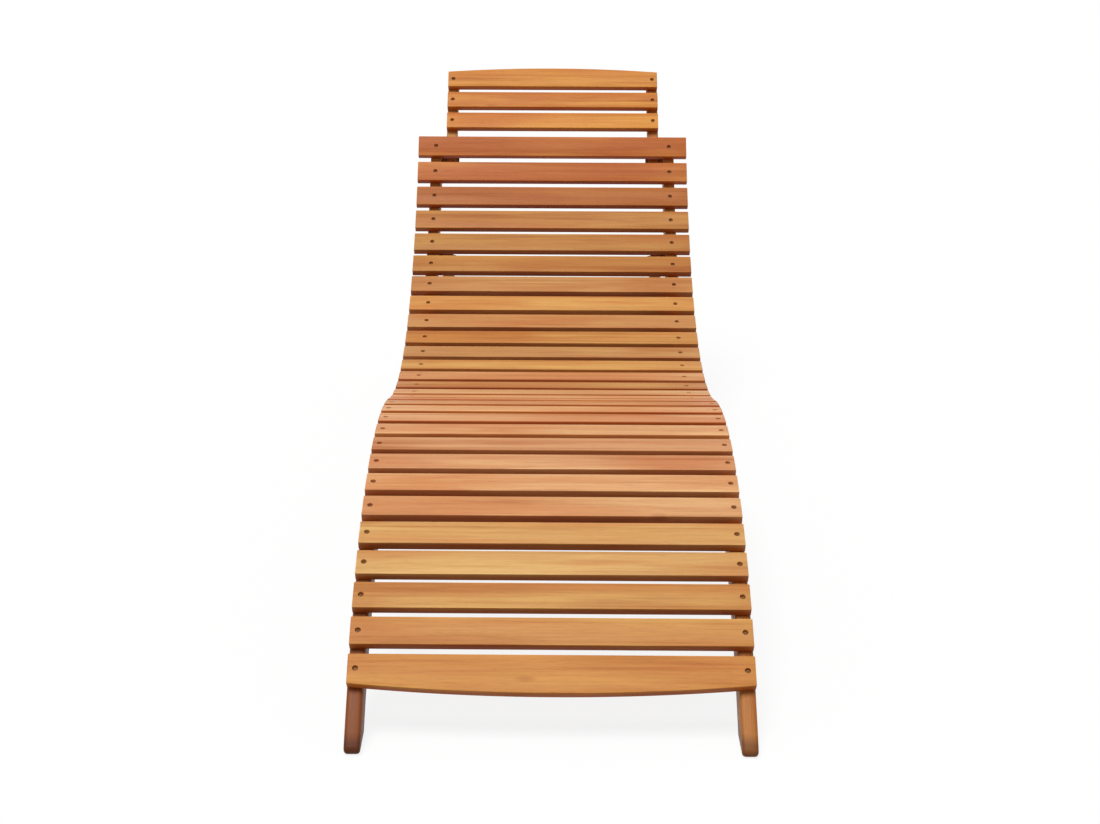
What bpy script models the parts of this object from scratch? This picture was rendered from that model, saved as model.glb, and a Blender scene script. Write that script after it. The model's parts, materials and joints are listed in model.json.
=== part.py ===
"""Folding garden lounger made of slats on curved rails.

Metres, +Z up. The foot end points to -Y and the head end to +Y. The rails follow an S: a hump under
the knees, then a dip for the seat that rises into the back. The two arcs are almost alike and meet at
the fold pivot, so the back section swings half a turn under the leg section and lies along it.
The side view is worked out with the fold pivot at y = 0, and then moved so that the origin lies
under the middle of the whole lounger.
"""
from math import acos, ceil, cos, pi, radians, sin

import bmesh
import bpy
from mathutils import Matrix, Vector

# Running gap that touching faces keep
CLEAR = 0.0003

# Overall width, across the leg rails and the full-width slats
WIDTH = 0.550

# Boards of the leg and back sections
RAIL_THICK = 0.022
RAIL_DEPTH = 0.050
SLAT_WIDTH = 0.044
SLAT_THICK = 0.014
SLAT_PITCH = 0.0587
SLAT_ROUND = 0.003

# Side view of the S: radii of the rails' mid-lines, height of the fold pivot, slope there
LEG_RADIUS = 0.803
BACK_RADIUS = 0.824
PIVOT_HEIGHT = 0.200
PIVOT_SLOPE = radians(15.3)
TOE_RADIUS = 0.008
ARC_STEP = 0.020

# Slats: how many, and how far the last leg slat lies before the pivot, measured on the lying face
LEG_SLATS = 14
BACK_SLATS = 16
LAST_LEG_SLAT = 0.0131
FRONT_SLAT_BULGE = 0.013

# Side gaps between the nested frames
BACK_SIDE_GAP = 0.003
INNER_SIDE_GAP = 0.008

# Headrest: its pivot is measured on the lying face, its slats from its pivot
HEAD_PIVOT_ALONG = 0.915
HEAD_LEAN = radians(6.6)
HEAD_RAIL_DEPTH = 0.026
HEAD_RAIL_ABOVE = 0.0073
HEAD_RAIL_BELOW_PIVOT = 0.005
HEAD_SLATS = 3
HEAD_SLAT_WIDTH = 0.038
HEAD_SLAT_PITCH = 0.0526
HEAD_FIRST_SLAT = 0.0851
HEAD_ARCH = 0.009

# Legs that fold into the back section
LEG_DEPTH = 0.030
REAR_PIVOT_ALONG = 0.690
REAR_PIVOT_DROP = 0.009
REAR_LEG_LEAN = radians(17.4)
SEAT_LEG_LEAN = radians(13.8)
STRETCHER_WIDTH = 0.022
STRETCHER_DEPTH = 0.020
REAR_STRETCHER_AT = 0.250
SEAT_STRETCHER_AT = 0.130

# Pivot bolts and their spacers
BOLT_RADIUS = 0.003
BOLT_HEAD_RADIUS = 0.0075
BOLT_HEAD_THICK = 0.0035
NUT_RADIUS = 0.0065
NUT_THICK = 0.005
HEAD_CHAMFER = 0.001
HOLE_CLEAR = 0.0005
RECESS_DEPTH = 0.0045
SPACER_RADIUS = 0.009
ROUND_STEPS = 16

# How far cutters reach past a face, steps of a bulged edge, distance below which points are one
CUT_PAST = 0.002
BULGE_STEPS = 16
SAME_POINT = 0.00001

# Wood and metal colours, and for each the roughness and how metallic it is
HONEY = (0.56, 0.27, 0.09)
AMBER = (0.50, 0.20, 0.06)
RUSSET = (0.40, 0.13, 0.04)
STEEL = (0.22, 0.21, 0.20)
WOOD_GLOSS = (0.45, 0.0)
STEEL_GLOSS = (0.35, 0.9)

# Places that follow from the sizes above
FACE_HEIGHT = RAIL_DEPTH / 2 + CLEAR + SLAT_THICK
LEG_RAIL_X = WIDTH / 2 - RAIL_THICK / 2
BACK_RAIL_X = LEG_RAIL_X - RAIL_THICK - BACK_SIDE_GAP
INNER_RAIL_X = BACK_RAIL_X - RAIL_THICK - INNER_SIDE_GAP
HEAD_WIDTH = 2 * INNER_RAIL_X + RAIL_THICK
HUMP_CENTRE = Vector((-LEG_RADIUS * sin(PIVOT_SLOPE), PIVOT_HEIGHT - LEG_RADIUS * cos(PIVOT_SLOPE)))
DIP_CENTRE = Vector((BACK_RADIUS * sin(PIVOT_SLOPE), PIVOT_HEIGHT + BACK_RADIUS * cos(PIVOT_SLOPE)))


def direction(angle):
    return Vector((cos(angle), sin(angle)))


def slope(along):
    """Angle of the rails above level, at a distance along their mid-line from the pivot."""
    return abs(along) / (LEG_RADIUS if along < 0 else BACK_RADIUS) - PIVOT_SLOPE


def on_curve(along, height=0.0):
    """Point at a distance along the rails' mid-line from the pivot, and a height above it."""
    up = direction(slope(along) + pi / 2)
    if along < 0:
        return HUMP_CENTRE + (LEG_RADIUS + height) * up
    return DIP_CENTRE - (BACK_RADIUS - height) * up


def mid_line(face_along):
    """Distance along the mid-line that lies under a distance along the lying face."""
    if face_along < 0:
        return face_along * LEG_RADIUS / (LEG_RADIUS + FACE_HEIGHT)
    return face_along * BACK_RADIUS / (BACK_RADIUS - FACE_HEIGHT)


def arc(centre, radius, start, end):
    """Points along an arc, from a start angle to an end angle, about ARC_STEP or finer apart."""
    count = max(8, ceil(abs(end - start) * radius / ARC_STEP))
    return [centre + radius * direction(start + (end - start) * i / count) for i in range(count + 1)]


def leg_rail_outline():
    """Side view of a leg rail: the hump, a round end at the pivot, and a toe rounded on the floor."""
    top = LEG_RADIUS + RAIL_DEPTH / 2
    bottom = LEG_RADIUS - RAIL_DEPTH / 2
    toe = acos((TOE_RADIUS - HUMP_CENTRE.y) / (top - TOE_RADIUS))
    heel = acos(-HUMP_CENTRE.y / bottom)
    pivot = pi / 2 - PIVOT_SLOPE
    toe_centre = HUMP_CENTRE + (top - TOE_RADIUS) * direction(pi / 2 + toe)
    points = arc(HUMP_CENTRE, top, pi / 2 + toe, pivot)
    points += arc(on_curve(0), RAIL_DEPTH / 2, pivot, pivot - pi)[1:-1]
    points += arc(HUMP_CENTRE, bottom, pivot, pi / 2 + heel)
    points += arc(toe_centre, TOE_RADIUS, 3 * pi / 2, pi / 2 + toe)[:-1]
    return points


def back_rail_outline():
    """Side view of a back rail: the dip and the back, with both ends round."""
    last = mid_line(slat_along(0))
    start = pi / 2 - PIVOT_SLOPE
    end = pi / 2 + slope(last)
    points = arc(DIP_CENTRE, BACK_RADIUS - RAIL_DEPTH / 2, start + pi, end + pi)
    points += arc(on_curve(last), RAIL_DEPTH / 2, end, end - pi)[1:-1]
    points += arc(DIP_CENTRE, BACK_RADIUS + RAIL_DEPTH / 2, end + pi, start + pi)
    points += arc(on_curve(0), RAIL_DEPTH / 2, start + pi, start)[1:-1]
    return points


def slat_along(index):
    """Distance along the lying face of back slat 0 at the top, 1 under it, and so on."""
    return (BACK_SLATS - index) * SLAT_PITCH - LAST_LEG_SLAT


def leg_outline(pivot, lean):
    """Side view of a straight leg, round at its pivot and cut level at the floor."""
    down = direction(lean - pi / 2)
    side = direction(lean)
    half = LEG_DEPTH / 2
    back = pivot + side * half
    front = pivot - side * half
    points = arc(pivot, half, lean + pi, lean)
    points.append(back - down * (back.y / down.y))
    points.append(front - down * (front.y / down.y))
    return points


def head_point(along, height):
    """Point beside the headrest's pivot: a distance up the headrest, and a height above the pivot."""
    axis = slope(HEAD_PIVOT_MID) - HEAD_LEAN
    return HEAD_PIVOT + along * direction(axis) + height * direction(axis + pi / 2)


def head_rail_outline():
    """Side view of a headrest rail: a straight board with both ends round."""
    half = HEAD_RAIL_DEPTH / 2
    middle = HEAD_RAIL_ABOVE - half
    last = HEAD_FIRST_SLAT + (HEAD_SLATS - 1) * HEAD_SLAT_PITCH + HEAD_SLAT_WIDTH / 2 - half
    up = slope(HEAD_PIVOT_MID) - HEAD_LEAN + pi / 2
    points = arc(head_point(last, middle), half, up, up - pi)
    points += arc(head_point(-HEAD_RAIL_BELOW_PIVOT, middle), half, up + pi, up)
    return points


HEAD_PIVOT_MID = mid_line(HEAD_PIVOT_ALONG)
HEAD_PIVOT = on_curve(HEAD_PIVOT_MID)
SEAT_PIVOT = on_curve(0)
REAR_PIVOT = on_curve(mid_line(REAR_PIVOT_ALONG), -REAR_PIVOT_DROP)
FOOT_END = min(p.x for p in leg_rail_outline())
HEAD_END = max(p.x for p in head_rail_outline())
SHIFT = -(FOOT_END + HEAD_END) / 2


def world(point, x=0.0):
    """A side-view point in the lounger's own frame."""
    return Vector((x, point.x + SHIFT, point.y))


def clear_scene():
    for item in list(bpy.data.objects):
        bpy.data.objects.remove(item, do_unlink=True)


def collection(name):
    group = bpy.data.collections.new(name)
    bpy.context.scene.collection.children.link(group)
    return group


def material(name, colour, gloss):
    finish = bpy.data.materials.new(name)
    finish.use_nodes = True
    shader = finish.node_tree.nodes["Principled BSDF"]
    shader.inputs["Base Color"].default_value = (*colour, 1.0)
    shader.inputs["Roughness"].default_value, shader.inputs["Metallic"].default_value = gloss
    return finish


def add_part(name, mesh, place, colour, gloss=WOOD_GLOSS, pivot=None):
    """Put a mesh in the lounger's collection, with its own material, under its pivot's empty."""
    part = bpy.data.objects.new(name, mesh)
    PARTS.objects.link(part)
    part.matrix_world = place
    mesh.materials.append(material(name, colour, gloss))
    if pivot:
        part.parent = pivot
        part.matrix_parent_inverse = Matrix.Translation(-pivot.location)
    return part


def add_pivot(name, point):
    """Empty on a joint's axis, which carries the pieces that swing about it."""
    pivot = bpy.data.objects.new(name, None)
    PARTS.objects.link(pivot)
    pivot.location = world(point)
    return pivot


def flat_mesh(name, points, thickness):
    """Closed board from its outline: a filled flat curve with thickness, made a mesh."""
    outline = bpy.data.curves.new(name, "CURVE")
    outline.dimensions = "2D"
    outline.fill_mode = "BOTH"
    outline.extrude = thickness / 2
    spline = outline.splines.new("POLY")
    spline.points.add(len(points) - 1)
    for corner, point in zip(spline.points, points):
        corner.co = (point.x, point.y, 0.0, 1.0)
    spline.use_cyclic_u = True
    guide = bpy.data.objects.new(name, outline)
    bpy.context.scene.collection.objects.link(guide)
    graph = bpy.context.evaluated_depsgraph_get()
    mesh = bpy.data.meshes.new_from_object(guide.evaluated_get(graph))
    bpy.data.objects.remove(guide, do_unlink=True)
    shape = bmesh.new()
    shape.from_mesh(mesh)
    bmesh.ops.remove_doubles(shape, verts=shape.verts, dist=SAME_POINT)
    bmesh.ops.recalc_face_normals(shape, faces=shape.faces)
    shape.to_mesh(mesh)
    shape.free()
    return mesh


def side_board(name, outline, x, thickness, colour, pivot=None):
    """Board that stands along the lounger, from its side view and its place across."""
    mesh = flat_mesh(name, outline, thickness)
    upright = Matrix(((0, 0, 1, x), (1, 0, 0, SHIFT), (0, 1, 0, 0), (0, 0, 0, 1)))
    return add_part(name, mesh, upright, colour, pivot=pivot)


def drill(part, label, point, radius, start_x, end_x):
    """Cut a round hole across a board, from one place across to another."""
    bpy.ops.mesh.primitive_cylinder_add(vertices=ROUND_STEPS, radius=radius, depth=abs(end_x - start_x),
                                        location=world(point, (start_x + end_x) / 2),
                                        rotation=(0, pi / 2, 0))
    cutter = bpy.context.object
    cutter.name = f"{part.name}_{label}"
    for group in list(cutter.users_collection):
        group.objects.unlink(cutter)
    CUTTERS.objects.link(cutter)
    cutter.hide_render = True
    cutter.display_type = "WIRE"
    cut = part.modifiers.new(label, "BOOLEAN")
    cut.operation = "DIFFERENCE"
    cut.solver = "EXACT"
    cut.object = cutter


def through_hole(part, side, rail_x, point):
    """Hole for a pivot bolt right through a board."""
    reach = RAIL_THICK / 2 + CUT_PAST
    drill(part, "bolt_hole", point, BOLT_RADIUS + HOLE_CLEAR, side * (rail_x - reach), side * (rail_x + reach))


def head_recess(part, side, rail_x, point):
    """Recess for a bolt's head in a board's outer face."""
    outer = rail_x + RAIL_THICK / 2
    drill(part, "head_recess", point, BOLT_HEAD_RADIUS + HOLE_CLEAR, side * (outer - RECESS_DEPTH),
          side * (outer + CUT_PAST))


def slat(name, seat, length, width, colour, pivot=None, bulge=0.0):
    """Board across the lounger with soft edges. A bulge curves its head edge, or its foot edge if minus."""
    if bulge:
        half = length / 2
        edge = width / 2 if bulge > 0 else -width / 2
        radius = (half * half + bulge * bulge) / (2 * abs(bulge))
        middle = Vector((0.0, edge + bulge - radius * (1 if bulge > 0 else -1)))
        spread = acos((radius - abs(bulge)) / radius)
        base = pi / 2 if bulge > 0 else -pi / 2
        points = [middle + radius * direction(base + spread * (1 - 2 * i / BULGE_STEPS))
                  for i in range(BULGE_STEPS + 1)]
        last = points[-1].x
        points += [Vector((last, -edge)), Vector((-last, -edge))]
        mesh = flat_mesh(name, points, SLAT_THICK)
    else:
        shape = bmesh.new()
        bmesh.ops.create_cube(shape, size=1.0)
        bmesh.ops.scale(shape, vec=(length, width, SLAT_THICK), verts=shape.verts)
        mesh = bpy.data.meshes.new(name)
        shape.to_mesh(mesh)
        shape.free()
    place, turn = seat
    part = add_part(name, mesh, Matrix.Translation(world(place)) @ Matrix.Rotation(turn, 4, "X"),
                    colour, pivot=pivot)
    soften = part.modifiers.new("soft_edges", "BEVEL")
    soften.width = SLAT_ROUND
    soften.segments = 2
    soften.limit_method = "ANGLE"
    soften.angle_limit = radians(50)
    return part


def turned_part(name, profile, x, side, point, closed, pivot=None):
    """Metal piece turned about an axis across the lounger, from radius and distance pairs."""
    mesh = bpy.data.meshes.new(name)
    edges = [(i, i + 1) for i in range(len(profile) - 1)]
    if closed:
        edges.append((len(profile) - 1, 0))
    mesh.from_pydata([(radius, 0.0, distance) for radius, distance in profile], edges, [])
    place = Matrix.Translation(world(point, x)) @ Matrix.Rotation(side * pi / 2, 4, "Y")
    part = add_part(name, mesh, place, STEEL, STEEL_GLOSS, pivot)
    turn = part.modifiers.new("turn", "SCREW")
    turn.angle = 2 * pi
    turn.steps = ROUND_STEPS
    turn.render_steps = ROUND_STEPS
    turn.use_merge_vertices = True
    turn.merge_threshold = SAME_POINT
    return part


def pivot_bolt(name, side, outer_x, inner_x, point, pivot=None):
    """Bolt from a recess in the outer board's face to a round nut on the inner board's face."""
    head = outer_x + RAIL_THICK / 2 - RECESS_DEPTH + CLEAR
    nut = inner_x - RAIL_THICK / 2 - CLEAR
    top = head + BOLT_HEAD_THICK
    bottom = nut - NUT_THICK
    profile = [(0.0, top), (BOLT_HEAD_RADIUS - HEAD_CHAMFER, top), (BOLT_HEAD_RADIUS, top - HEAD_CHAMFER),
               (BOLT_HEAD_RADIUS, head), (BOLT_RADIUS, head), (BOLT_RADIUS, nut), (NUT_RADIUS, nut),
               (NUT_RADIUS, bottom + HEAD_CHAMFER), (NUT_RADIUS - HEAD_CHAMFER, bottom), (0.0, bottom)]
    return turned_part(name, profile, 0.0, side, point, False, pivot)


def spacer(name, side, outer_x, inner_x, point, pivot=None):
    """Ring on a pivot bolt that fills the side gap between two boards."""
    top = outer_x - RAIL_THICK / 2 - CLEAR
    bottom = inner_x + RAIL_THICK / 2 + CLEAR
    hole = BOLT_RADIUS + HOLE_CLEAR
    profile = [(SPACER_RADIUS, top), (SPACER_RADIUS, bottom), (hole, bottom), (hole, top)]
    return turned_part(name, profile, 0.0, side, point, True, pivot)


def board_seat(face_along, hollow):
    """Centre and tilt of a slat on the rails. On a hollow stretch its edges clear the rising arc."""
    along = mid_line(face_along)
    height = RAIL_DEPTH / 2 + CLEAR + SLAT_THICK / 2
    if hollow:
        height += (SLAT_WIDTH ** 2 + ARC_STEP ** 2) / (8 * (BACK_RADIUS - RAIL_DEPTH / 2))
    return on_curve(along, height), slope(along)


def shade(index):
    """Wood colour of a slat: the boards of one section differ a little."""
    return (HONEY, AMBER, HONEY, RUSSET, AMBER)[index % 5]


def leg_section():
    for name, side in SIDES:
        rail = side_board(f"leg_rail_{name}", leg_rail_outline(), side * LEG_RAIL_X, RAIL_THICK, AMBER)
        through_hole(rail, side, LEG_RAIL_X, SEAT_PIVOT)
        head_recess(rail, side, LEG_RAIL_X, SEAT_PIVOT)
        pivot_bolt(f"seat_pivot_bolt_{name}", side, LEG_RAIL_X, INNER_RAIL_X, SEAT_PIVOT)
        spacer(f"rail_washer_{name}", side, LEG_RAIL_X, BACK_RAIL_X, SEAT_PIVOT)
    for i in range(LEG_SLATS):
        face_along = -LAST_LEG_SLAT - (LEG_SLATS - 1 - i) * SLAT_PITCH
        bulge = -FRONT_SLAT_BULGE if i == 0 else 0.0
        slat(f"leg_slat_{i + 1:02d}", board_seat(face_along, False), WIDTH, SLAT_WIDTH, shade(i), None,
             bulge)


def back_section():
    pivot = add_pivot("fold_pivot", SEAT_PIVOT)
    for name, side in SIDES:
        rail = side_board(f"back_rail_{name}", back_rail_outline(), side * BACK_RAIL_X, RAIL_THICK, AMBER,
                          pivot)
        for point in (SEAT_PIVOT, REAR_PIVOT, HEAD_PIVOT):
            through_hole(rail, side, BACK_RAIL_X, point)
        for point in (REAR_PIVOT, HEAD_PIVOT):
            head_recess(rail, side, BACK_RAIL_X, point)
        pivot_bolt(f"rear_leg_bolt_{name}", side, BACK_RAIL_X, INNER_RAIL_X, REAR_PIVOT, pivot)
        pivot_bolt(f"headrest_bolt_{name}", side, BACK_RAIL_X, INNER_RAIL_X, HEAD_PIVOT, pivot)
        for label, point in (("seat_leg", SEAT_PIVOT), ("rear_leg", REAR_PIVOT), ("headrest", HEAD_PIVOT)):
            spacer(f"{label}_spacer_{name}", side, BACK_RAIL_X, INNER_RAIL_X, point, pivot)
    for i in range(BACK_SLATS):
        slat(f"back_slat_{i + 1:02d}", board_seat(slat_along(i), True), WIDTH, SLAT_WIDTH, shade(i + 2),
             pivot)


def headrest():
    pivot = add_pivot("headrest_pivot", HEAD_PIVOT)
    turn = slope(HEAD_PIVOT_MID) - HEAD_LEAN
    height = HEAD_RAIL_ABOVE + CLEAR + SLAT_THICK / 2
    for name, side in SIDES:
        rail = side_board(f"headrest_rail_{name}", head_rail_outline(), side * INNER_RAIL_X, RAIL_THICK,
                          AMBER, pivot)
        through_hole(rail, side, INNER_RAIL_X, HEAD_PIVOT)
    for i in range(HEAD_SLATS):
        place = head_point(HEAD_FIRST_SLAT + i * HEAD_SLAT_PITCH, height)
        bulge = HEAD_ARCH if i == HEAD_SLATS - 1 else 0.0
        slat(f"headrest_slat_{i + 1:02d}", (place, turn), HEAD_WIDTH, HEAD_SLAT_WIDTH, shade(i + 1), pivot,
             bulge)


def folding_legs(label, point, lean, stretcher_at):
    """Pair of legs on one pivot, joined by a stretcher that lies between them."""
    pivot = add_pivot(f"{label}_leg_pivot", point)
    for name, side in SIDES:
        leg = side_board(f"{label}_leg_{name}", leg_outline(point, lean), side * INNER_RAIL_X, RAIL_THICK,
                         AMBER, pivot)
        through_hole(leg, side, INNER_RAIL_X, point)
    shape = bmesh.new()
    bmesh.ops.create_cube(shape, size=1.0)
    span = 2 * (INNER_RAIL_X - RAIL_THICK / 2 - CLEAR)
    bmesh.ops.scale(shape, vec=(span, STRETCHER_DEPTH, STRETCHER_WIDTH), verts=shape.verts)
    mesh = bpy.data.meshes.new(f"{label}_stretcher")
    shape.to_mesh(mesh)
    shape.free()
    place = world(point + stretcher_at * direction(lean - pi / 2))
    add_part(f"{label}_leg_stretcher", mesh, Matrix.Translation(place) @ Matrix.Rotation(lean, 4, "X"),
             AMBER, pivot=pivot)


SIDES = (("left", -1), ("right", 1))
clear_scene()
PARTS = collection("garden_lounger")
CUTTERS = collection("cutters")
leg_section()
back_section()
headrest()
folding_legs("seat", SEAT_PIVOT, SEAT_LEG_LEAN, SEAT_STRETCHER_AT)
folding_legs("rear", REAR_PIVOT, REAR_LEG_LEAN, REAR_STRETCHER_AT)
for label, point in (("fold", SEAT_PIVOT), ("headrest", HEAD_PIVOT), ("rear leg", REAR_PIVOT)):
    print(label, "pivot at", [round(value, 5) for value in world(point)])
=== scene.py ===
"""Looks of a folding garden lounger: oiled slats and rails, screws, bolts, and a pale studio."""
import json
import random
from math import atan2, cos, pi, radians, sin, sqrt

import bmesh
import bpy
from mathutils import Matrix, Vector


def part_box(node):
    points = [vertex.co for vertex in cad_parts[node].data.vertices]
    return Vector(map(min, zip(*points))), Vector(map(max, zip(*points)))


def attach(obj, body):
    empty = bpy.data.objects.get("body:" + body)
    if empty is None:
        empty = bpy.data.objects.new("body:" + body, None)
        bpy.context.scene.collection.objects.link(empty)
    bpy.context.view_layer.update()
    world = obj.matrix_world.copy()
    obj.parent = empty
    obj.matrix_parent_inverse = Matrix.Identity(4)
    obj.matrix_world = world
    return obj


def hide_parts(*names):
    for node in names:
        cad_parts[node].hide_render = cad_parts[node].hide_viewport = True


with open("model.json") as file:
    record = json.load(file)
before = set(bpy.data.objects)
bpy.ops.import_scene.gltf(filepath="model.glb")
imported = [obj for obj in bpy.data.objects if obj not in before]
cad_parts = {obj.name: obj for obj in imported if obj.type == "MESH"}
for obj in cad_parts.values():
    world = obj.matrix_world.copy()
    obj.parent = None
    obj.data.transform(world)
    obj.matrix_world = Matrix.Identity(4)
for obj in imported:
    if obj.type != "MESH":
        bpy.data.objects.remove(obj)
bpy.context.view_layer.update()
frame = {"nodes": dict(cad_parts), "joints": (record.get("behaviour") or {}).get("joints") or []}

# Camera, placed as the photograph was taken: from the foot end, above it, almost on the centre line
PHOTO_WIDTH = 1100.0
FOCAL_PIXELS = 1900.0
SENSOR = 36.0
CAMERA_PLACE = (-0.0076, -3.1504, 1.2253)
CAMERA_DOWN = radians(18.34)
CAMERA_LEFT = radians(0.51)
CAMERA_ROLL = radians(0.17)
CAMERA_SHIFT = 0.0172

# Rounding of the boards' edges
SLAT_EDGE = 0.0014
RAIL_EDGE = 0.0035
LEG_RAIL_EDGE = 0.0050
EDGE_STEPS = 4

# Bowed edge of the front and top slats: the cuts that shape it, and how near a point is to its cut
BOW_CUTS = 31
AT_CUT = 0.0005

# Angles between two faces: from which an edge is a corner of a slat or screw, from which it is a corner
# of a rail or leg, and up to which it is shaded smooth
SLAT_CORNER = radians(50)
RAIL_CORNER = radians(40)
SMOOTH_ANGLE = radians(35)

# Merging of a solid's loose triangles: the reach for points and the angle for flat faces
MERGE_REACH = 0.00002
FLAT_ANGLE = radians(0.4)

# A point this near to a plane lies in it
NEAR = 0.0001

# How far a face's normal points some way: over the first it faces that way, and over the second it may
# be a board's end. Normals are told apart by this many digits.
FACING = 0.9
END_FACING = 0.1
NORMAL_DIGITS = 2

# The rails' S: radii of their mid-lines and the slope at the fold pivot, as in the solids
LEG_RADIUS = 0.803
BACK_RADIUS = 0.824
PIVOT_SLOPE = radians(15.3)

# Bolt holes' reach from their axis, inside which no edge is rounded
WIDE_HOLE = 0.0095
NARROW_HOLE = 0.0055

# Screw holes and screws
HOLE_RADIUS = 0.0034
HOLE_DEPTH = 0.0048
HOLE_RIM = 0.0008
HOLE_SIDES = 24
SCREW_RADIUS = 0.0031
SCREW_HEAD = 0.0016
SCREW_SIDES = 16
SCREW_ROUNDING = 0.0004
SCREW_STEPS = 2
CROSS_LENGTH = 0.0038
CROSS_WIDTH = 0.0008
CROSS_DEPTH = 0.0009

# Oiled wood, from pale to dark
PALE = (0.720, 0.375, 0.165)
STRAW = (0.680, 0.365, 0.125)
ROSE = (0.680, 0.330, 0.145)
HONEY = (0.630, 0.305, 0.085)
ORANGE = (0.700, 0.275, 0.045)
BROWN = (0.560, 0.265, 0.090)
TOFFEE = (0.620, 0.250, 0.052)
AMBER = (0.530, 0.230, 0.056)
RUSSET = (0.550, 0.180, 0.034)
CHESTNUT = (0.440, 0.140, 0.027)
COCOA = (0.270, 0.100, 0.024)

# Tones of each section's slats: the leg section from the foot end, the back from the top
# down, the headrest from the bottom up
LEG_TONES = (TOFFEE, HONEY, HONEY, STRAW, STRAW, PALE, PALE, ROSE, ROSE, PALE, ROSE, PALE, PALE, ROSE)
BACK_TONES = (RUSSET, RUSSET, CHESTNUT, AMBER, AMBER, AMBER, BROWN, HONEY, BROWN, HONEY, BROWN, HONEY,
              PALE, BROWN, PALE, PALE)
HEADREST_TONES = (ORANGE, ORANGE, ORANGE)

# Tones of the curved rails, of the headrest rails and legs, and of the stretchers
RAIL_TONES = {"leg_rail_left": COCOA, "leg_rail_right": AMBER,
              "back_rail_left": HONEY, "back_rail_right": HONEY}
STRAIGHT_TONE = HONEY
STRETCHER_TONE = AMBER

# Chance from board to board: how far its grain lies from the next one's, and how light it is
GRAIN_FAR = 4
LIGHTNESS = (0.94, 1.06)

# How much painted shade the wood has: all over the rails, legs and stretchers, at the top of the slats'
# edges, and under the slats
RAIL_PAINTED_SHADE = 0.25
EDGE_PAINTED_SHADE = 0.35
UNDERSIDE_PAINTED_SHADE = 0.6

# How far from the fold the slats' edges carry painted shade in the dip, which is fullest over the first
# half
DIP_SHADE_REACH = 0.35

# Patterns in the wood: how closely each repeats along the grain, across it and through it
DRIFT_GRAIN = (2.4, 5, 5)
PATCH_GRAIN = (3.4, 24, 24)
BLUSH_GRAIN = (2.6, 34, 34)
BAND_GRAIN = (1.8, 70, 70)
FIGURE_GRAIN = (3.5, 210, 210)
FIBRE_GRAIN = (16, 1100, 1100)
PORE_GRAIN = (50, 1500, 1500)
KNOT_GRAIN = (3.2, 11, 11)

# Shifts that keep these patterns from falling on the others
DRIFT_SHIFT = (1, 4, 2)
BLUSH_SHIFT = (3, 1, 2)
KNOT_SHIFT = (0.4, 0.2, 0.7)

# From a pattern's level to a mark's strength: a low and a high level, then the strength at each
DRIFT_MARK = (0.46, 0.63, 0.0, 0.9)
PATCH_MARK = (0.49, 0.66, 0.0, 0.8)
BLUSH_MARK = (0.50, 0.66, 0.0, 0.85)
BAND_MARK = (0.50, 0.69, 0.0, 0.75)
FIGURE_MARK = (0.48, 0.75, 0.0, 0.38)
FIBRE_MARK = (0.30, 0.62, 0.90, 1.03)
KNOT_MARK = (0.02, 0.07, 0.8, 0.0)
PORE_MARK = (0.30, 0.38, 0.30, 0.0)
# Painted highlight on the slats' upper edges, which comes and goes along them by this
HIGHLIGHT_MARK = (0.42, 0.56, 0.3, 1.0)
SAWN_MARK = 0.6

# What a full mark makes of a tone: factors on its red, green and blue
RUSSET_DRIFT = (0.86, 0.66, 0.54)
PALE_PATCH = (1.13, 1.27, 1.31)
WARM_BLUSH = (0.92, 0.73, 0.65)
DARK_FIGURE = (0.72, 0.56, 0.46)
DARK_KNOT = (0.62, 0.42, 0.34)
DARK_PORE = (0.45, 0.34, 0.28)
SAWN_END = (0.60, 0.46, 0.38)
# Painted shade: factors that darken the slats' edges and undersides, and the rails, legs and stretchers
PAINTED_SHADE = (0.72, 0.36, 0.13)
# Painted highlight: factors that lighten the slats' upper rounded edges
PAINTED_HIGHLIGHT = (1.30, 1.42, 1.50)
# Darker towards the floor: factors for the lowest wood
DARK_NEAR_FLOOR = (0.42, 0.40, 0.50)

# Darkening of the feet towards the floor: its strength by height, as for the marks, and how far its upper
# edge wavers
LOW_DARK_MARK = (0.022, 0.033, 0.9, 0.0)
LOW_DARK_WAVER = 0.012

# The wood's gloss and relief, where four values go from a pattern's level as for the marks
WOOD_ROUGHNESS = (0.3, 0.7, 0.44, 0.56)
WOOD_SHINE = 0.20
FIBRE_RELIEF = 0.4
PORE_RELIEF = (0.28, 0.40, -0.7, 0.0)
RELIEF_STRENGTH = 0.16
RELIEF_HEIGHT = 0.0006

# Browned steel: how closely its specks repeat, their colour by level, and the gloss
STEEL_SPECKS = 700
STEEL_COLOURS = ((0.3, (0.150, 0.060, 0.018)), (0.75, (0.380, 0.180, 0.062)))
STEEL_METALLIC = 0.2
STEEL_SHINE = 0.25
STEEL_ROUGHNESS = (0.3, 0.7, 0.50, 0.70)

# Floor: its size, how much of its white glows, its paper as it is seen, and the greys that only light
# the object, by the level of clouds that repeat this closely
FLOOR_SIZE = 60
FLOOR_GLOW = 0.86
PAPER_SEEN = (0.95, 0.95, 0.95)
PAPER_GREYS = ((0.3, (0.48, 0.48, 0.48)), (0.7, (0.52, 0.52, 0.52)))
PAPER_CLOUDS = 3

# Light: strength of the sky, and strength, spread and direction of the key light
SKY_STRENGTH = 0.30
KEY_STRENGTH = 2.50
KEY_SPREAD = radians(30)
KEY_FROM = (-0.16, -0.26, 1.0)

chance = random.Random(7)


def nothing_selected():
    if bpy.context.object and bpy.context.object.mode != "OBJECT":
        bpy.ops.object.mode_set(mode="OBJECT")
    bpy.ops.object.select_all(action="DESELECT")


def only(piece):
    """Select one piece alone and make it active."""
    nothing_selected()
    piece.select_set(True)
    bpy.context.view_layer.objects.active = piece


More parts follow.
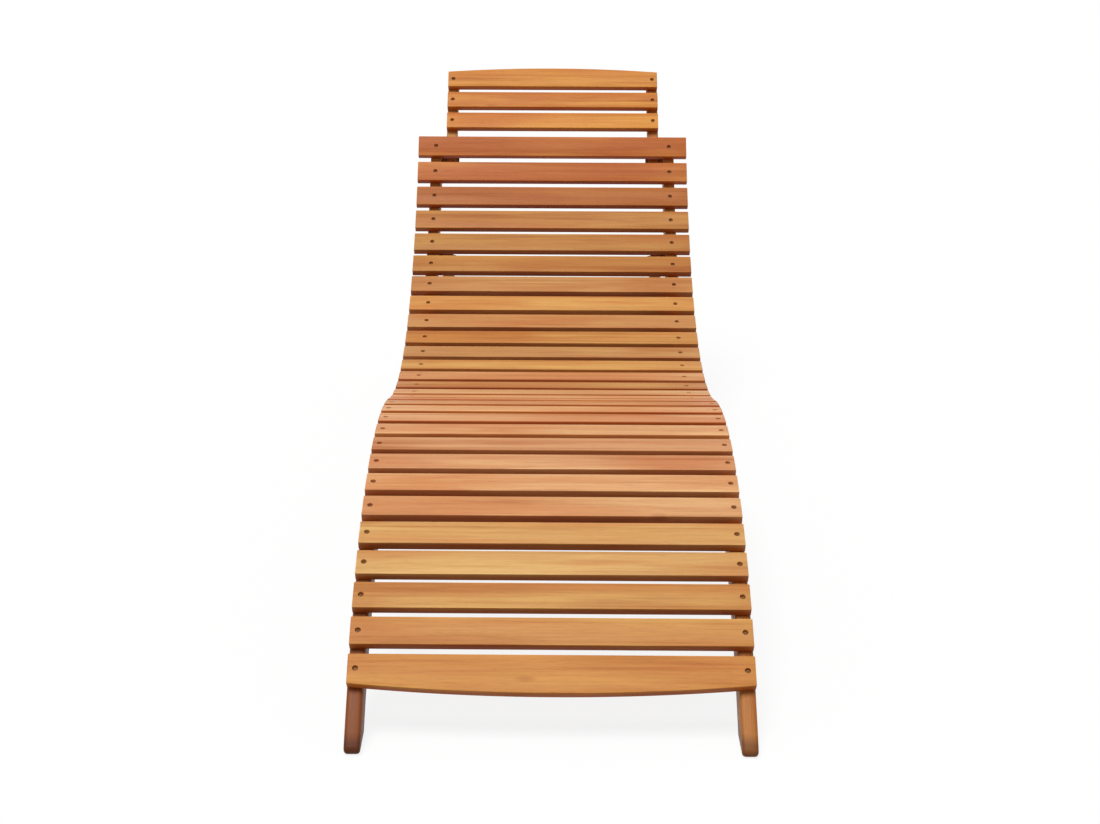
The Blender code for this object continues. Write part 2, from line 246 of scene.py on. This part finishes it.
def edit(piece):
    only(piece)
    bpy.ops.object.mode_set(mode="EDIT")
    bpy.ops.mesh.select_all(action="DESELECT")


def leave_edit():
    bpy.ops.object.mode_set(mode="OBJECT")


def settle(piece):
    """Put a piece's place, turn and scale into its mesh."""
    only(piece)
    bpy.ops.object.transform_apply(location=True, rotation=True, scale=True)


def choose(piece, kind, test):
    """Select edges, faces or vertices of the piece in edit mode, by a test on each."""
    bpy.context.tool_settings.mesh_select_mode = (kind == "verts", kind == "edges", kind == "faces")
    shape = bmesh.from_edit_mesh(piece.data)
    for item in getattr(shape, kind):
        item.select_set(bool(test(item)))
    shape.select_flush_mode()
    bmesh.update_edit_mesh(piece.data)


def middle(edge):
    return (edge.verts[0].co + edge.verts[1].co) / 2


def flattened(place):
    """A place moved sideways onto the centre plane."""
    return Vector((0, place.y, place.z))


def round_chosen(size, steps):
    """Round the edges that are selected in edit mode."""
    bpy.ops.mesh.bevel(offset=size, segments=steps, profile=0.5, affect="EDGES")


def smooth(piece):
    only(piece)
    bpy.ops.object.shade_smooth_by_angle(angle=SMOOTH_ANGLE)


def block(name, size):
    """Block about the origin with its size in its mesh, ready to be shaped."""
    nothing_selected()
    bpy.ops.mesh.primitive_cube_add(size=1)
    piece = bpy.context.object
    piece.name = name
    piece.data.name = name
    piece.scale = size
    settle(piece)
    return piece


def cut(piece, cutter):
    """Take the cutter's shape out of a piece, then throw the cutter away."""
    only(piece)
    bite = piece.modifiers.new("bite", "BOOLEAN")
    bite.operation = "DIFFERENCE"
    bite.solver = "EXACT"
    bite.object = cutter
    bpy.ops.object.modifier_apply(modifier="bite")
    bpy.data.objects.remove(cutter, do_unlink=True)


def own_copy(piece, name):
    twin = piece.copy()
    twin.data = piece.data.copy()
    twin.name = name
    twin.data.name = name
    bpy.context.scene.collection.objects.link(twin)
    return twin


def lie_of(node):
    """Centre, tilt about X and size of a straight board, read from its solid's widest face."""
    mesh = frame["nodes"][node].data
    mesh.calc_loop_triangles()
    normals = {}
    for triangle in mesh.loop_triangles:
        if abs(triangle.normal.x) < END_FACING and triangle.normal.z > 0:
            key = tuple(round(value, NORMAL_DIGITS) for value in triangle.normal)
            normals[key] = normals.get(key, 0) + triangle.area
    up = Vector(max(normals, key=normals.get)).normalized()
    tilt = atan2(-up.y, up.z)
    level = Matrix.Rotation(-tilt, 3, "X")
    corners = [level @ vertex.co for vertex in mesh.vertices]
    low = Vector([min(corner[i] for corner in corners) for i in range(3)])
    high = Vector([max(corner[i] for corner in corners) for i in range(3)])
    return level.inverted() @ ((low + high) / 2), tilt, high - low


def lying(node):
    """Matrix that takes a level board about the origin to where its solid lies."""
    centre, tilt, _ = lie_of(node)
    return Matrix.Translation(centre) @ Matrix.Rotation(tilt, 4, "X")


def middle_x(node):
    low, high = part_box(node)
    return abs(low.x + high.x) / 2


def joint_place(name):
    for joint in frame["joints"]:
        if joint["name"] == name:
            return Vector(joint["pos_m"])
    raise KeyError(name)


def dip_shade_at(place):
    """Painted shade on the edges of a slat in the dip: full near the fold, and none beyond its reach."""
    fade = 2 * (1 - (place - joint_place("back_fold")).length / DIP_SHADE_REACH)
    return min(1.0, max(0.0, fade))


def sawn_shade_highlight_at(place, size, dip_shade):
    """How far a point of a slat is sawn end, and how much painted shade and painted highlight it has.

    A slat has painted shade underneath, and ever more so down its edges. Its upper edges have a painted
    highlight, except near the fold, where painted shade darkens them.
    """
    sawn = float(abs(place.x) > size.x / 2 - NEAR)
    below = size.z / 2 - place.z
    # Painted shade under the slat and down its edges, growing downwards and near the fold
    if below > size.z - NEAR:
        return sawn, UNDERSIDE_PAINTED_SHADE, 0.0
    if below > SLAT_EDGE / 2:
        top = EDGE_PAINTED_SHADE + (1 - EDGE_PAINTED_SHADE) * dip_shade
        return sawn, top + (1 - top) * min(1.0, below / (size.z - SLAT_EDGE)), 0.0
    # Upper rounding: painted highlight, given over to painted shade near the fold
    if below > NEAR:
        return sawn, dip_shade, 1 - dip_shade
    return sawn, 0.0, 0.0


def mark_wood(piece, places, tone, size=None, dip_shade=0.0):
    """Keep on each vertex its place in the board for the grain, the board's tone, and its painted shade
    and highlight.

    A slat is given its size, by which its sawn ends, painted shade and painted highlight are found. Other
    boards have the same painted shade all over.
    """
    far = Vector([chance.uniform(-GRAIN_FAR, GRAIN_FAR) for _ in range(3)])
    lightness = chance.uniform(*LIGHTNESS)
    colour = (*(lightness * value for value in tone), 1.0)
    marks = piece.data.attributes
    marks.new("grain", "FLOAT_VECTOR", "POINT")
    marks.new("tone", "FLOAT_COLOR", "POINT")
    for name in ("sawn", "unbleached", "worn"):
        marks.new(name, "FLOAT", "POINT")
    for i, place in enumerate(places):
        marks["grain"].data[i].vector = place + far
        marks["tone"].data[i].color = colour
        # Sawn end, painted shade and painted highlight of this point; other boards get painted shade only
        wear = sawn_shade_highlight_at(place, size, dip_shade) if size else (0.0, RAIL_PAINTED_SHADE, 0.0)
        for name, value in zip(("sawn", "unbleached", "worn"), wear):
            marks[name].data[i].value = value


def dress(piece, body, node):
    """Give a board its wood and its body, in place of its solid."""
    piece.data.materials.clear()
    piece.data.materials.append(WOOD)
    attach(piece, body)
    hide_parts(node)


def screw_hole(x, top):
    """Cutter for a screw hole, which widens evenly up to the slat's face and goes on above it."""
    nothing_selected()
    bpy.ops.mesh.primitive_cylinder_add(vertices=HOLE_SIDES, radius=HOLE_RADIUS, depth=2 * HOLE_DEPTH,
                                        location=(x, 0, top))
    bore = bpy.context.object
    settle(bore)
    edit(bore)
    choose(bore, "faces", lambda face: face.normal.z > FACING)
    bpy.ops.transform.translate(value=(0, 0, -HOLE_DEPTH))
    bpy.ops.transform.resize(value=(1 + HOLE_RIM / HOLE_RADIUS,) * 2 + (1,))
    bpy.ops.mesh.extrude_region_move(TRANSFORM_OT_translate={"value": (0, 0, HOLE_DEPTH)})
    leave_edit()
    return bore


def bow_edge(piece, length, bow, side):
    """Bow a level slat's edge out on one side, along an arc from end to end."""
    edit(piece)
    choose(piece, "edges", lambda edge: abs(edge.verts[0].co.x - edge.verts[1].co.x) > length / 2)
    bpy.ops.mesh.subdivide(number_cuts=BOW_CUTS)
    half = length / 2
    radius = (half * half + bow * bow) / (2 * bow)
    for i in range(1, BOW_CUTS + 1):
        x = -half + length * i / (BOW_CUTS + 1)
        out = sqrt(radius * radius - x * x) - (radius - bow)
        choose(piece, "verts", lambda vertex: abs(vertex.co.x - x) < AT_CUT and vertex.co.y * side > 0)
        bpy.ops.transform.translate(value=(0, side * out, 0))
    leave_edit()


def slat_pattern(name, size, rail_x, bow=0.0, side=1):
    """One slat of a kind, level, with its edges rounded and its two screw holes.

    The size is the whole slat's. Its straight part lies about the origin, with the holes on its middle,
    and a bow stands out on one side.
    """
    piece = block(name, (size.x, size.y - bow, size.z))
    if bow:
        bow_edge(piece, size.x, bow, side)
    edit(piece)
    choose(piece, "edges", lambda edge: edge.calc_face_angle(0) > SLAT_CORNER)
    round_chosen(SLAT_EDGE, EDGE_STEPS)
    leave_edit()
    for end in (-1, 1):
        cut(piece, screw_hole(end * rail_x, size.z / 2))
    smooth(piece)
    return piece


class Section:
    """The slats that one body carries. One may be bowed, to the foot end (-1) or the head end (1)."""

    def __init__(self, kind, body, tones, bowed=None, side=1):
        self.body = body
        self.tones = tones
        self.slats = [f"{kind}_slat_{i + 1:02d}" for i in range(len(tones))]
        self.screws = f"{kind}_slat_screws"
        self.rail_x = middle_x(f"{kind}_rail_left")
        self.bowed = None if bowed is None else self.slats[bowed]
        self.straight = next(slat for slat in self.slats if slat != self.bowed)
        self.side = side
        self.bow = lie_of(self.bowed)[2].y - lie_of(self.straight)[2].y if self.bowed else 0.0

    def hole_shift(self, slat):
        """How far a slat's screw holes lie off the middle of its whole width."""
        return -self.side * self.bow / 2 if slat == self.bowed else 0.0

    def lay_slats(self):
        """Copy the section's slat patterns to where the solids lie, and mark and dress each."""
        patterns = {self.straight: slat_pattern("slat", lie_of(self.straight)[2], self.rail_x)}
        if self.bowed:
            patterns[self.bowed] = slat_pattern("bowed_slat", lie_of(self.bowed)[2], self.rail_x,
                                                self.bow, self.side)
        for slat, tone in zip(self.slats, self.tones):
            centre, _, size = lie_of(slat)
            piece = own_copy(patterns.get(slat, patterns[self.straight]), slat + "_board")
            # Slats near the fold get painted shade on their edges, standing in for the dip's shade
            mark_wood(piece, [v.co.copy() for v in piece.data.vertices], tone, size, dip_shade_at(centre))
            piece.matrix_world = lying(slat) @ Matrix.Translation((0, self.hole_shift(slat), 0))
            settle(piece)
            dress(piece, self.body, slat)
        for pattern in patterns.values():
            bpy.data.objects.remove(pattern, do_unlink=True)

    def drive_screws(self, pattern):
        """All the section's screws as one piece, each deep in its hole and turned by chance."""
        heads = []
        for slat in self.slats:
            up = lie_of(slat)[2].z / 2 - HOLE_DEPTH + SCREW_HEAD
            for end in (-1, 1):
                head = own_copy(pattern, self.screws)
                head.matrix_world = (lying(slat)
                                     @ Matrix.Translation((end * self.rail_x, self.hole_shift(slat), up))
                                     @ Matrix.Rotation(chance.uniform(0, pi), 4, "Z"))
                heads.append(head)
        nothing_selected()
        for head in heads:
            head.select_set(True)
        bpy.context.view_layer.objects.active = heads[0]
        bpy.ops.object.join()
        joined = bpy.context.object
        joined.name = self.screws
        settle(joined)
        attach(joined, self.body)


def rounded_board(node, hole_reach, pivots, rounding=RAIL_EDGE):
    """Copy of a rail's or leg's solid, merged, with its long edges rounded but not its bolt holes."""
    piece = own_copy(frame["nodes"][node], node + "_board")
    piece.parent = None
    piece.matrix_world = Matrix.Identity(4)
    edit(piece)
    bpy.ops.mesh.select_all(action="SELECT")
    bpy.ops.mesh.remove_doubles(threshold=MERGE_REACH)
    bpy.ops.mesh.dissolve_limited(angle_limit=FLAT_ANGLE)
    holes = [flattened(pivot) for pivot in pivots]

    def on_outline(edge):
        if edge.calc_face_angle(0) < RAIL_CORNER:
            return False
        return all((flattened(middle(edge)) - hole).length > hole_reach for hole in holes)

    choose(piece, "edges", on_outline)
    round_chosen(rounding, EDGE_STEPS)
    leave_edit()
    smooth(piece)
    return piece


def along_arc(vertex, pivot, radius, bend):
    """Place in a curved rail: along its mid-line, away from it, and through it.

    The mid-line is an arc through the pivot, centred above it for a bend of 1 and below it for -1.
    """
    centre = pivot + bend * radius * Vector((0, sin(PIVOT_SLOPE), cos(PIVOT_SLOPE)))
    arm = vertex - centre
    angle = atan2(arm.y, -bend * arm.z)
    return Vector((radius * angle, sqrt(arm.y ** 2 + arm.z ** 2) - radius, vertex.x))


def along_line(vertex, start, direction):
    """Place in a straight board: along it, across it, and through it."""
    arm = vertex - start
    across = Vector((0, -direction.z, direction.y))
    return Vector((arm.dot(direction), arm.dot(across), vertex.x))


def run_of(node, start):
    """Direction from a joint to the far end of a straight board."""
    arms = [flattened(vertex.co) - start for vertex in frame["nodes"][node].data.vertices]
    return max(arms, key=lambda arm: arm.length).normalized()


def curved_rails(side, fold, head_pivot, rear_pivot):
    """The leg rail and the back rail of one side."""
    for kind, body, radius, bend, rounding in (("leg", "leg_section", LEG_RADIUS, -1, LEG_RAIL_EDGE),
                                               ("back", "back_section", BACK_RADIUS, 1, RAIL_EDGE)):
        node = f"{kind}_rail_{side}"
        piece = rounded_board(node, WIDE_HOLE, (fold, rear_pivot, head_pivot), rounding)
        places = [along_arc(vertex.co, fold, radius, bend) for vertex in piece.data.vertices]
        mark_wood(piece, places, RAIL_TONES[node])
        dress(piece, body, node)


def straight_boards(side, fold, head_pivot, rear_pivot):
    """The headrest rail, rear leg and seat leg of one side."""
    for node, body, pivot in ((f"headrest_rail_{side}", "headrest", head_pivot),
                              (f"rear_leg_{side}", "rear_legs", rear_pivot),
                              (f"seat_leg_{side}", "seat_legs", fold)):
        piece = rounded_board(node, NARROW_HOLE, (pivot,))
        run = run_of(node, pivot)
        mark_wood(piece, [along_line(vertex.co, pivot, run) for vertex in piece.data.vertices],
                  STRAIGHT_TONE)
        dress(piece, body, node)


def stretchers():
    """The boards across each pair of legs, whose grain runs along X."""
    for node, body in (("rear_leg_stretcher", "rear_legs"), ("seat_leg_stretcher", "seat_legs")):
        piece = rounded_board(node, 0, ())
        mark_wood(piece, [vertex.co.copy() for vertex in piece.data.vertices], STRETCHER_TONE)
        dress(piece, body, node)


def screw_pattern():
    """Flat screw head with a cross recess, its top at the origin."""
    nothing_selected()
    bpy.ops.mesh.primitive_cylinder_add(vertices=SCREW_SIDES, radius=SCREW_RADIUS, depth=SCREW_HEAD,
                                        location=(0, 0, -SCREW_HEAD / 2))
    head = bpy.context.object
    head.name = "screw_pattern"
    settle(head)
    edit(head)
    choose(head, "edges",
           lambda edge: middle(edge).z > -NEAR and edge.calc_face_angle(0) > SLAT_CORNER)
    round_chosen(SCREW_ROUNDING, SCREW_STEPS)
    leave_edit()
    for length, width in ((CROSS_LENGTH, CROSS_WIDTH), (CROSS_WIDTH, CROSS_LENGTH)):
        cut(head, block("cross", (length, width, 2 * CROSS_DEPTH)))
    head.data.materials.clear()
    head.data.materials.append(STEEL)
    smooth(head)
    return head


def finish_ironwork():
    """Give the solids of bolts, spacers and washers their steel."""
    for name, node in frame["nodes"].items():
        if "bolt" in name or "spacer" in name or "washer" in name:
            node.data.materials.clear()
            node.data.materials.append(STEEL)


class Nodes:
    """Small helper to lay out a material's nodes."""

    def __init__(self, name):
        self.finish = bpy.data.materials.new(name)
        self.finish.use_nodes = True
        self.tree = self.finish.node_tree
        self.shader = self.tree.nodes["Principled BSDF"]

    def add(self, kind, **settings):
        node = self.tree.nodes.new(kind)
        for key, value in settings.items():
            setattr(node, key, value)
        return node

    def link(self, output, socket):
        self.tree.links.new(output, socket)

    def mark(self, name, output="Fac"):
        """What a piece's vertices keep under a name."""
        return self.add("ShaderNodeAttribute", attribute_name=name).outputs[output]

    def object_place(self):
        return self.add("ShaderNodeTexCoord").outputs["Object"]

    def stretched(self, source, scale, shift=(0, 0, 0)):
        node = self.add("ShaderNodeMapping")
        node.inputs["Scale"].default_value = scale
        node.inputs["Location"].default_value = shift
        self.link(source, node.inputs["Vector"])
        return node.outputs["Vector"]

    def noise(self, place, detail=3.0, roughness=0.55, distortion=0.0, scale=1.0):
        node = self.add("ShaderNodeTexNoise")
        node.inputs["Scale"].default_value = scale
        node.inputs["Detail"].default_value = detail
        node.inputs["Roughness"].default_value = roughness
        node.inputs["Distortion"].default_value = distortion
        self.link(place, node.inputs["Vector"])
        return node.outputs["Fac"]

    def maths(self, operation, first, second):
        node = self.add("ShaderNodeMath", operation=operation)
        for value, socket in zip((first, second), node.inputs):
            if isinstance(value, (int, float)):
                socket.default_value = value
            else:
                self.link(value, socket)
        return node.outputs["Value"]

    def spread(self, value, low, high, to_low, to_high):
        """Turn a level between a low and a high one into a value between two others."""
        node = self.add("ShaderNodeMapRange")
        node.inputs["From Min"].default_value = low
        node.inputs["From Max"].default_value = high
        node.inputs["To Min"].default_value = to_low
        node.inputs["To Max"].default_value = to_high
        self.link(value, node.inputs["Value"])
        return node.outputs["Result"]

    def mix(self, amount, first, second, blend="MIX"):
        """Mix two colours, whose sockets the node has after those for numbers and vectors."""
        node = self.add("ShaderNodeMix", data_type="RGBA", blend_type=blend)
        for value, socket in ((amount, node.inputs[0]), (first, node.inputs[6]), (second, node.inputs[7])):
            if isinstance(value, (int, float)):
                socket.default_value = value
            elif isinstance(value, tuple):
                socket.default_value = (*value, 1.0)
            else:
                self.link(value, socket)
        return node.outputs[2]

    def times(self, colour, factor):
        return self.mix(1.0, colour, factor, "MULTIPLY")

    def marked(self, amount, colour, factor):
        """A colour that takes on a factor by an amount."""
        return self.mix(amount, colour, self.times(colour, factor))

    def ramp(self, value, stops):
        node = self.add("ShaderNodeValToRGB")
        for point, (place, colour) in zip(node.color_ramp.elements, stops):
            point.position = place
            point.color = (*colour, 1.0)
        self.link(value, node.inputs["Fac"])
        return node.outputs["Color"]


def grain_patterns(wood, place):
    """The patterns of the wood, from its widest drifts to its pores, each a level from 0 to 1."""
    return {
        "drift": wood.noise(wood.stretched(place, DRIFT_GRAIN, DRIFT_SHIFT), detail=1, roughness=0.5),
        "patch": wood.noise(wood.stretched(place, PATCH_GRAIN), detail=2, roughness=0.5),
        "blush": wood.noise(wood.stretched(place, BLUSH_GRAIN, BLUSH_SHIFT), detail=3, roughness=0.5),
        "bands": wood.noise(wood.stretched(place, BAND_GRAIN), detail=4, roughness=0.6, distortion=0.7),
        "figure": wood.noise(wood.stretched(place, FIGURE_GRAIN), detail=3, distortion=0.4),
        "fibre": wood.noise(wood.stretched(place, FIBRE_GRAIN), detail=2),
        "pore": wood.noise(wood.stretched(place, PORE_GRAIN), detail=1),
    }


def figured(wood, pattern, tone):
    """A board's tone with its russet drifts, pale patches, warm blushes, dark bands and fibres."""
    colour = tone
    for name, strength, factor in (("drift", DRIFT_MARK, RUSSET_DRIFT), ("patch", PATCH_MARK, PALE_PATCH),
                                   ("blush", BLUSH_MARK, WARM_BLUSH)):
        colour = wood.mix(wood.spread(pattern[name], *strength), colour, wood.times(tone, factor))
    dark = wood.times(colour, DARK_FIGURE)
    colour = wood.mix(wood.spread(pattern["bands"], *BAND_MARK), colour, dark)
    colour = wood.mix(wood.spread(pattern["figure"], *FIGURE_MARK), colour, dark)
    return wood.times(colour, wood.spread(pattern["fibre"], *FIBRE_MARK))


def knotted(wood, pattern, place, colour):
    """The wood's colour with a few knots and its pores."""
    knot = wood.add("ShaderNodeTexVoronoi", feature="F1")
    knot.inputs["Scale"].default_value = 1.0
    knot.inputs["Randomness"].default_value = 1.0
    wood.link(wood.stretched(place, KNOT_GRAIN, KNOT_SHIFT), knot.inputs["Vector"])
    colour = wood.marked(wood.spread(knot.outputs["Distance"], *KNOT_MARK), colour, DARK_KNOT)
    return wood.marked(wood.spread(pattern["pore"], *PORE_MARK), colour, DARK_PORE)


def ends_and_painted_light(wood, pattern, colour):
    """The wood's colour with its sawn ends, painted shade and painted highlight, and darker towards the
    floor.
    """
    colour = wood.marked(wood.maths("MULTIPLY", wood.mark("sawn"), SAWN_MARK), colour, SAWN_END)
    # Painted shade on the slats' edges and undersides, and on the rails, legs and stretchers
    colour = wood.marked(wood.mark("unbleached"), colour, PAINTED_SHADE)
    # Painted highlight on the slats' upper edges, coming and going along them
    worn = wood.maths("MULTIPLY", wood.mark("worn"), wood.spread(pattern["patch"], *HIGHLIGHT_MARK))
    colour = wood.marked(worn, colour, PAINTED_HIGHLIGHT)
    # Darker towards the floor, with a wavering upper edge
    above = wood.add("ShaderNodeSeparateXYZ")
    wood.link(wood.object_place(), above.inputs["Vector"])
    waver = wood.maths("MULTIPLY", pattern["patch"], LOW_DARK_WAVER)
    height = wood.maths("ADD", above.outputs["Z"], waver)
    return wood.marked(wood.spread(height, *LOW_DARK_MARK), colour, DARK_NEAR_FLOOR)


def oiled_surface(wood, pattern):
    """The wood's low gloss, and the relief of its fibres and pores."""
    wood.link(wood.spread(pattern["bands"], *WOOD_ROUGHNESS), wood.shader.inputs["Roughness"])
    wood.shader.inputs["Specular IOR Level"].default_value = WOOD_SHINE
    height = wood.maths("ADD", wood.maths("MULTIPLY", pattern["fibre"], FIBRE_RELIEF),
                        wood.spread(pattern["pore"], *PORE_RELIEF))
    relief = wood.add("ShaderNodeBump")
    relief.inputs["Strength"].default_value = RELIEF_STRENGTH
    relief.inputs["Distance"].default_value = RELIEF_HEIGHT
    wood.link(height, relief.inputs["Height"])
    wood.link(relief.outputs["Normal"], wood.shader.inputs["Normal"])


def oiled_wood():
    """Oiled hardwood, with its grain along the board, its pale and warm patches, pores and knots."""
    wood = Nodes("oiled_wood")
    place = wood.mark("grain", "Vector")
    pattern = grain_patterns(wood, place)
    colour = figured(wood, pattern, wood.mark("tone", "Color"))
    colour = knotted(wood, pattern, place, colour)
    colour = ends_and_painted_light(wood, pattern, colour)
    wood.link(colour, wood.shader.inputs["Base Color"])
    oiled_surface(wood, pattern)
    return wood.finish


def dark_steel():
    """Dark browned steel with faint wear."""
    steel = Nodes("dark_steel")
    speck = steel.noise(steel.object_place(), detail=4, scale=STEEL_SPECKS)
    steel.link(steel.ramp(speck, STEEL_COLOURS), steel.shader.inputs["Base Color"])
    steel.shader.inputs["Metallic"].default_value = STEEL_METALLIC
    steel.shader.inputs["Specular IOR Level"].default_value = STEEL_SHINE
    steel.link(steel.spread(speck, *STEEL_ROUGHNESS), steel.shader.inputs["Roughness"])
    return steel.finish


def seen_directly(tree):
    """1 for rays from the camera, from a reflection or through glass, to which the background is white."""
    path = tree.nodes.new("ShaderNodeLightPath")
    seen = path.outputs["Is Camera Ray"]
    for kind in ("Is Glossy Ray", "Is Transmission Ray"):
        either = tree.nodes.new("ShaderNodeMath")
        either.operation = "MAXIMUM"
        tree.links.new(seen, either.inputs[0])
        tree.links.new(path.outputs[kind], either.inputs[1])
        seen = either.outputs["Value"]
    return seen


def white_paper():
    """Matt paper that shows white with soft shadows, and lights the object as a grey one would."""
    paper = Nodes("pale_floor")
    clouds = paper.noise(paper.object_place(), scale=PAPER_CLOUDS)
    seen = seen_directly(paper.tree)
    colour = paper.mix(seen, paper.ramp(clouds, PAPER_GREYS), PAPER_SEEN)
    paper.link(colour, paper.shader.inputs["Base Color"])
    paper.shader.inputs["Roughness"].default_value = 1.0
    paper.shader.inputs["Specular IOR Level"].default_value = 0.0
    glow = paper.add("ShaderNodeEmission")
    both = paper.add("ShaderNodeMixShader")
    paper.link(paper.maths("MULTIPLY", seen, FLOOR_GLOW), both.inputs[0])
    paper.link(paper.shader.outputs["BSDF"], both.inputs[1])
    paper.link(glow.outputs["Emission"], both.inputs[2])
    paper.link(both.outputs["Shader"], paper.tree.nodes["Material Output"].inputs["Surface"])
    return paper.finish


def white_floor():
    nothing_selected()
    bpy.ops.mesh.primitive_plane_add(size=FLOOR_SIZE)
    floor = bpy.context.object
    floor.name = "floor"
    floor.data.materials.append(white_paper())


def white_sky():
    """Sky that is white to look at and softer as a light."""
    sky = bpy.data.worlds.new("studio_sky")
    sky.use_nodes = True
    bpy.context.scene.world = sky
    tree = sky.node_tree
    soft = tree.nodes["Background"]
    soft.inputs["Color"].default_value = (1, 1, 1, 1)
    soft.inputs["Strength"].default_value = SKY_STRENGTH
    white = tree.nodes.new("ShaderNodeBackground")
    white.inputs["Color"].default_value = (1, 1, 1, 1)
    white.inputs["Strength"].default_value = 1.0
    mixed = tree.nodes.new("ShaderNodeMixShader")
    tree.links.new(seen_directly(tree), mixed.inputs[0])
    tree.links.new(soft.outputs["Background"], mixed.inputs[1])
    tree.links.new(white.outputs["Background"], mixed.inputs[2])
    tree.links.new(mixed.outputs["Shader"], tree.nodes["World Output"].inputs["Surface"])


def key_light():
    """One broad soft light from above, a little to the foot end and the left."""
    key = bpy.data.lights.new("key_light", "SUN")
    key.energy = KEY_STRENGTH
    key.angle = KEY_SPREAD
    lamp = bpy.data.objects.new("key_light", key)
    bpy.context.scene.collection.objects.link(lamp)
    lamp.rotation_euler = Vector(KEY_FROM).to_track_quat("Z", "Y").to_euler()


def camera():
    lens = bpy.data.cameras.new("camera")
    lens.sensor_width = SENSOR
    lens.lens = FOCAL_PIXELS / PHOTO_WIDTH * SENSOR
    lens.shift_x = CAMERA_SHIFT
    eye = bpy.data.objects.new("camera", lens)
    bpy.context.scene.collection.objects.link(eye)
    eye.matrix_world = (Matrix.Translation(CAMERA_PLACE) @ Matrix.Rotation(CAMERA_LEFT, 4, "Z")
                        @ Matrix.Rotation(pi / 2 - CAMERA_DOWN, 4, "X")
                        @ Matrix.Rotation(CAMERA_ROLL, 4, "Z"))
    bpy.context.scene.camera = eye


WOOD = oiled_wood()
STEEL = dark_steel()

sections = (Section("leg", "leg_section", LEG_TONES, bowed=0, side=-1),
            Section("back", "back_section", BACK_TONES),
            Section("headrest", "headrest", HEADREST_TONES, bowed=-1, side=1))
for section in sections:
    section.lay_slats()

pivots = [joint_place(name) for name in ("back_fold", "headrest_fold", "rear_leg_fold")]
for side in ("left", "right"):
    curved_rails(side, *pivots)
    straight_boards(side, *pivots)
stretchers()

screw = screw_pattern()
for section in sections:
    section.drive_screws(screw)
bpy.data.objects.remove(screw, do_unlink=True)
finish_ironwork()

white_floor()
white_sky()
key_light()
camera()
bpy.context.scene.view_settings.view_transform = "Standard"
bpy.context.view_layer.update()
